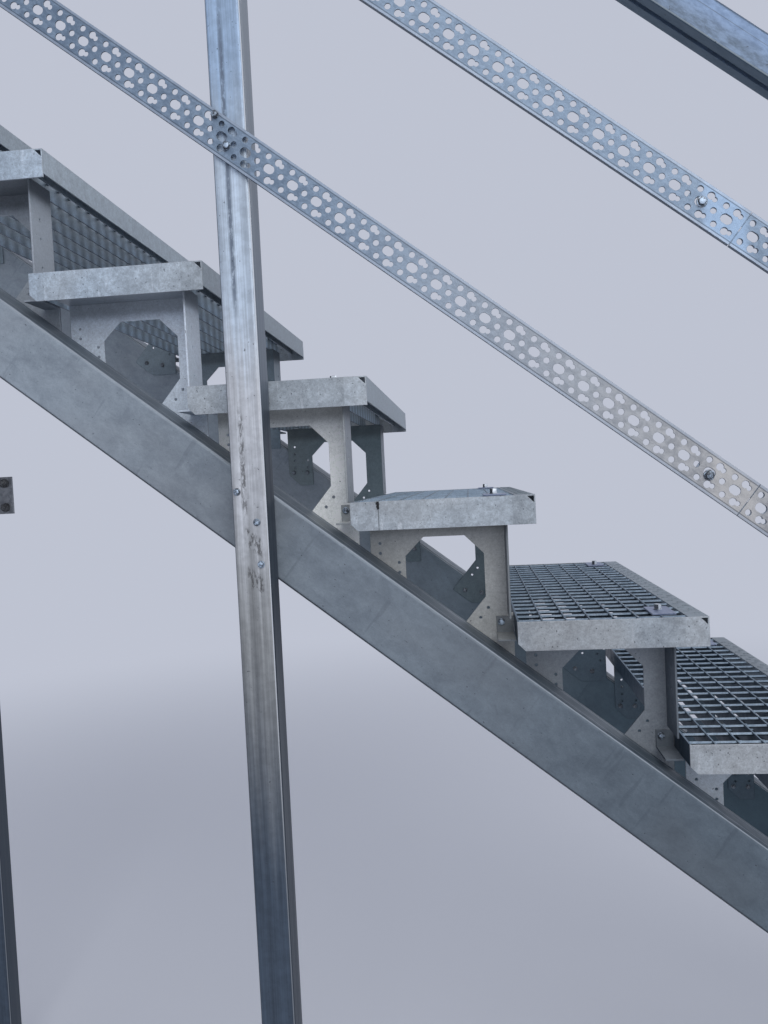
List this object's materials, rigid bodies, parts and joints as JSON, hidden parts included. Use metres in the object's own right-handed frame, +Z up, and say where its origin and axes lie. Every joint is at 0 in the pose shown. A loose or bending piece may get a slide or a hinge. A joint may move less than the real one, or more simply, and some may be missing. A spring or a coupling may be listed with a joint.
{
  "type": "outdoor escape stair flight",
  "caption": "Straight galvanised steel escape stair flight for a wall: box stringers, folded step brackets, grating treads, posts, perforated rails and a handrail on the outer side.",
  "frame": {"origin": "middle of the flight's box, at ground level", "axes": "+X runs down the flight, +Y points to the wall, +Z is up"},
  "size_m": [3.325, 0.96, 3.5913],
  "materials": {
    "treads": "hot-dip galvanised, mottled light grey",
    "step_brackets": "galvanised sheet, warm light grey mottling",
    "stringers": "hot-dip galvanised, dull cloudy grey",
    "plates": "hot-dip galvanised, dull",
    "posts": "galvanised tube with lengthwise streaks",
    "perforated_rails": "smooth galvanised strip",
    "handrail": "smooth galvanised channel",
    "clips": "bright zinc plate"
  },
  "bodies": {
    "root": {"tread_1": "treads", "tread_2": "treads", "tread_3": "treads", "tread_4": "treads", "tread_5": "treads", "tread_6": "treads", "tread_7": "treads", "tread_8": "treads", "tread_9": "treads", "tread_10": "treads", "tread_11": "treads", "tread_12": "treads", "tread_13": "treads", "near_brackets_1": "step_brackets", "near_brackets_2": "step_brackets", "near_brackets_3": "step_brackets", "far_brackets_1": "step_brackets", "far_brackets_2": "step_brackets", "far_brackets_3": "step_brackets", "near_stringer": "stringers", "far_stringer": "stringers", "near_foot_plate": "plates", "far_foot_plate": "plates", "near_end_plate": "plates", "far_end_plate": "plates", "post_1": "posts", "post_2": "posts", "post_3": "posts", "post_4": "posts", "base_plate_1": "plates", "base_plate_2": "plates", "base_plate_3": "plates", "base_plate_4": "plates", "wall_post": "posts", "wall_base_plate": "plates", "wall_tie": "plates", "lower_rail_a": "perforated_rails", "lower_rail_b": "perforated_rails", "upper_rail_a": "perforated_rails", "upper_rail_b": "perforated_rails", "rail_joints": "perforated_rails", "handrail": "handrail", "near_clips": "clips", "far_clips": "clips"}
  },
  "joints": []
}
